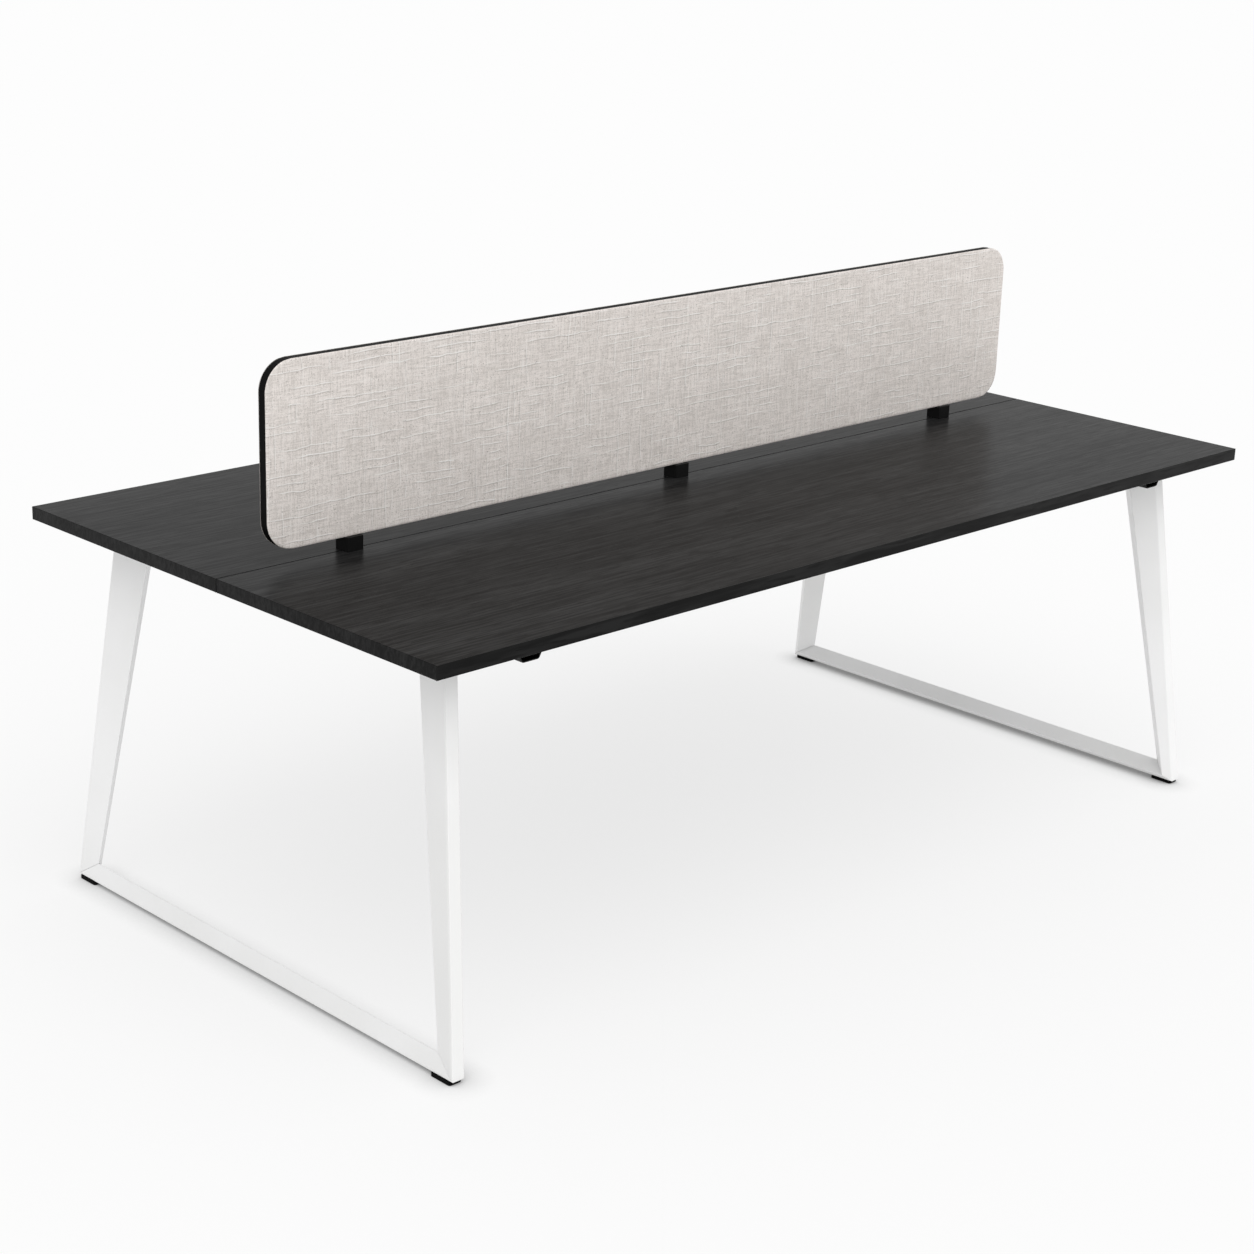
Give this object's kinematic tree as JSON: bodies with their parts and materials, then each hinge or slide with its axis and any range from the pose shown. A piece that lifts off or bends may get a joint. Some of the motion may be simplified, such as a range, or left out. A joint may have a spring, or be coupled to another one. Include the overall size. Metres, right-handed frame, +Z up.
{
  "type": "benching desk",
  "caption": "Benching desk with dark wood tops side by side on white splayed end frames, and a fabric screen on posts along the seam.",
  "frame": {"origin": "on the floor, below the middle of the desk", "axes": "+X along the desk, +Y across it towards the back top, +Z up"},
  "size_m": [2.2, 1.152, 1.109],
  "materials": {
    "wood_dark": "charcoal woodgrain, matt",
    "edge_dark": "matt edging",
    "frame_white": "white powder coat",
    "steel_black": "black powder coat",
    "steel_zinc": "zinc plated",
    "plastic_black": "matt",
    "linen": "woven linen look",
    "board": "raw board"
  },
  "bodies": {
    "desk": {"top_front_core": "wood_dark", "top_front_edge_outer": "edge_dark", "top_front_edge_seam": "edge_dark", "top_front_edge_left": "edge_dark", "top_front_edge_right": "edge_dark", "top_back_core": "wood_dark", "top_back_edge_outer": "edge_dark", "top_back_edge_seam": "edge_dark", "top_back_edge_left": "edge_dark", "top_back_edge_right": "edge_dark", "floor_rail_left": "frame_white", "head_plate_left": "frame_white", "support_arm_left": "steel_black", "floor_rail_right": "frame_white", "head_plate_right": "frame_white", "support_arm_right": "steel_black", "leg_front_left": "frame_white", "foot_insert_front_left": "steel_zinc", "beam_bracket_front_left": "steel_black", "beam_bolt_front_left": "steel_zinc", "top_screw_front_left_inner": "steel_zinc", "top_screw_front_left_outer": "steel_zinc", "leg_back_left": "frame_white", "foot_insert_back_left": "steel_zinc", "beam_bracket_back_left": "steel_black", "beam_bolt_back_left": "steel_zinc", "top_screw_back_left_inner": "steel_zinc", "top_screw_back_left_outer": "steel_zinc", "leg_front_right": "frame_white", "foot_insert_front_right": "steel_zinc", "beam_bracket_front_right": "steel_black", "beam_bolt_front_right": "steel_zinc", "top_screw_front_right_inner": "steel_zinc", "top_screw_front_right_outer": "steel_zinc", "leg_back_right": "frame_white", "foot_insert_back_right": "steel_zinc", "beam_bracket_back_right": "steel_black", "beam_bolt_back_right": "steel_zinc", "top_screw_back_right_inner": "steel_zinc", "top_screw_back_right_outer": "steel_zinc", "beam_front": "steel_black", "screen_fabric_front": "linen", "beam_back": "steel_black", "screen_fabric_back": "linen", "screen_core": "board", "screen_trim": "plastic_black", "screen_post_left": "steel_black", "screen_clamp_left": "steel_black", "screen_pin_left": "steel_zinc", "screen_post_middle": "steel_black", "screen_clamp_middle": "steel_black", "screen_pin_middle": "steel_zinc", "screen_post_right": "steel_black", "screen_clamp_right": "steel_black", "screen_pin_right": "steel_zinc"},
    "foot_front_left": {"foot_front_left": "plastic_black"},
    "foot_back_left": {"foot_back_left": "plastic_black"},
    "foot_front_right": {"foot_front_right": "plastic_black"},
    "foot_back_right": {"foot_back_right": "plastic_black"}
  },
  "joints": [
    {"name": "foot_front_left_screw", "type": "slide", "parent": "desk", "child": "foot_front_left", "axis": [0, 0, -1], "range_m": [0, 0.01]},
    {"name": "foot_back_left_screw", "type": "slide", "parent": "desk", "child": "foot_back_left", "axis": [0, 0, -1], "range_m": [0, 0.01]},
    {"name": "foot_front_right_screw", "type": "slide", "parent": "desk", "child": "foot_front_right", "axis": [0, 0, -1], "range_m": [0, 0.01]},
    {"name": "foot_back_right_screw", "type": "slide", "parent": "desk", "child": "foot_back_right", "axis": [0, 0, -1], "range_m": [0, 0.01]}
  ]
}
